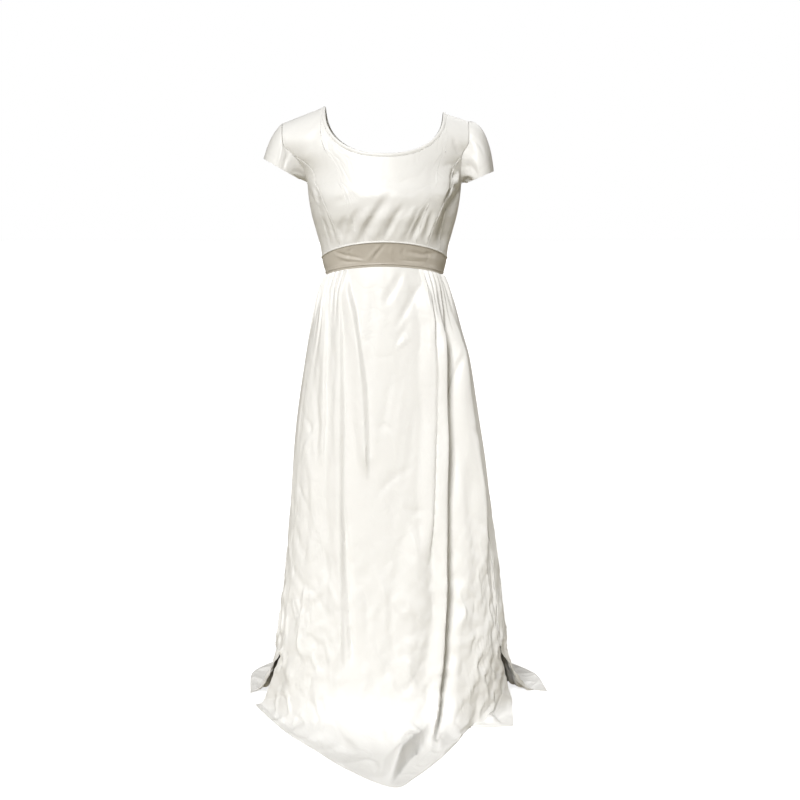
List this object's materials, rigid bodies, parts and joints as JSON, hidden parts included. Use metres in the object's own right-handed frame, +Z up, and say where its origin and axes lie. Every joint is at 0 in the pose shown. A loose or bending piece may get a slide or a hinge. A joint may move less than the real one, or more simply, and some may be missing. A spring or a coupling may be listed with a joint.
{
  "type": "evening gown",
  "caption": "Empire-line evening gown with scoop neck, cap sleeves, satin waistband, gathered full-length skirt and side slits, filled out as worn.",
  "frame": {"origin": "the point midway between the shoulders, level with the neck end of the higher shoulder, from which the gown hangs", "axes": "+Z up, -Y to the front of the gown, +X to the wearer's left"},
  "size_m": [0.7308, 0.904, 1.3828],
  "materials": {
    "ivory_satin": "heavy ivory satin with a soft sheen",
    "taupe_satin": "taupe satin with a soft sheen",
    "zip_tape": "matt woven tape"
  },
  "bodies": {
    "root": {"bodice_front": "ivory_satin", "bodice_side_front_left": "ivory_satin", "bodice_side_front_right": "ivory_satin", "bodice_back_left": "ivory_satin", "bodice_back_right": "ivory_satin", "neck_binding": "ivory_satin", "sleeve_left": "ivory_satin", "sleeve_right": "ivory_satin", "waistband": "taupe_satin", "piping_upper": "ivory_satin", "piping_lower": "taupe_satin", "back_zip": "zip_tape", "skirt_front": "ivory_satin", "skirt_back_left": "ivory_satin", "skirt_back_right": "ivory_satin"}
  },
  "joints": []
}
